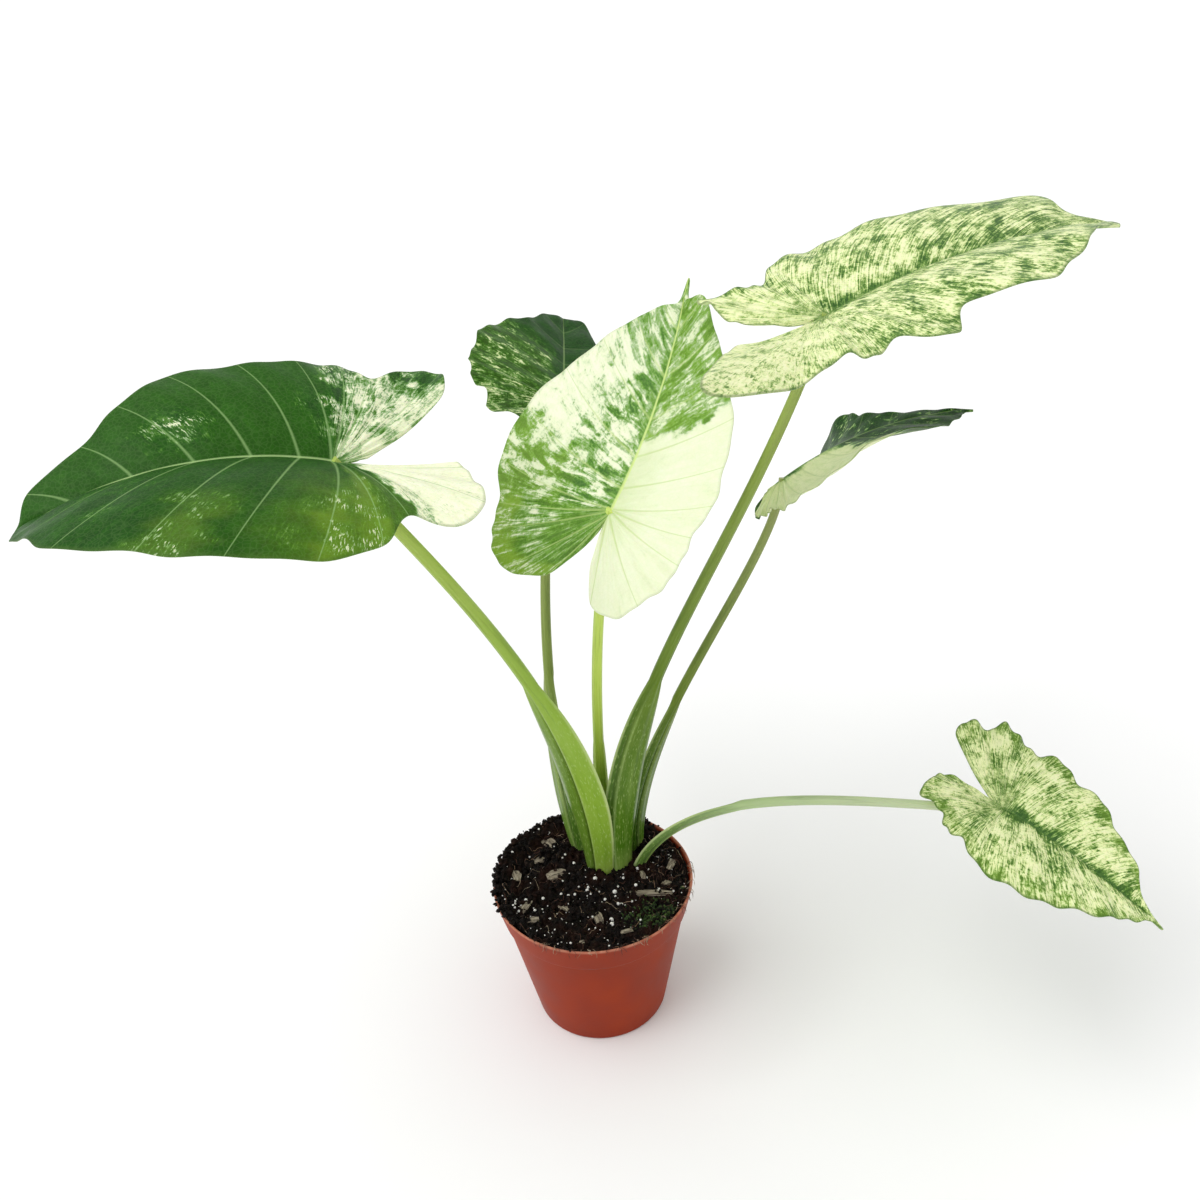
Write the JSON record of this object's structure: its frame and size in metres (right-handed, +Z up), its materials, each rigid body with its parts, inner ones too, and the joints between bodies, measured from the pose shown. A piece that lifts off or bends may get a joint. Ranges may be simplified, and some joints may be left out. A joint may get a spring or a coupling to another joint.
{
  "type": "potted variegated elephant ear plant",
  "caption": "Young upright elephant ear (Alocasia odora) with cream and green variegated heart-shaped leaves on long sheathed stalks, growing in a round terracotta-red plastic nursery pot.",
  "frame": {"origin": "centre of the pot's flat underside, on the ground", "axes": "+Z up along the pot's axis; looking along +Y shows the plant's front, with the biggest leaf towards -X and the widest spread of the leaves along X"},
  "size_m": [0.5373, 0.3932, 0.4553],
  "materials": {
    "pot_plastic": "moulded terracotta-red polypropylene, satin",
    "potting_mix": "damp dark peat with white perlite and bark chips, matte",
    "stem_flesh": "pale fleshy plant stem, matte",
    "stalk_left": "smooth fleshy leaf stalk, waxy satin",
    "stalk_centre": "smooth fleshy leaf stalk, waxy satin",
    "stalk_upper_right": "smooth fleshy leaf stalk, waxy satin",
    "stalk_back": "smooth fleshy leaf stalk, waxy satin",
    "stalk_right": "smooth fleshy leaf stalk, waxy satin",
    "stalk_low_right": "smooth fleshy leaf stalk, waxy satin",
    "leaf_left": "dark green blade with pale veins, cream patches on its back lobes, waxy satin",
    "leaf_centre": "half cream and half green blade, waxy satin",
    "leaf_upper_right": "cream blade finely flecked with green, waxy satin",
    "leaf_back": "dark green blade with fine pale streaks, waxy satin",
    "leaf_right": "dark green folded blade with a pale underside, waxy satin",
    "leaf_low_right": "cream blade finely flecked with green, waxy satin"
  },
  "bodies": {
    "root": {"pot": "pot_plastic", "potting_mix": "potting_mix", "stem_base": "stem_flesh", "stalk_left": "stalk_left", "stalk_centre": "stalk_centre", "stalk_upper_right": "stalk_upper_right", "stalk_back": "stalk_back", "stalk_right": "stalk_right", "stalk_low_right": "stalk_low_right", "leaf_left": "leaf_left", "leaf_centre": "leaf_centre", "leaf_upper_right": "leaf_upper_right", "leaf_back": "leaf_back", "leaf_right": "leaf_right", "leaf_low_right": "leaf_low_right"}
  },
  "joints": []
}
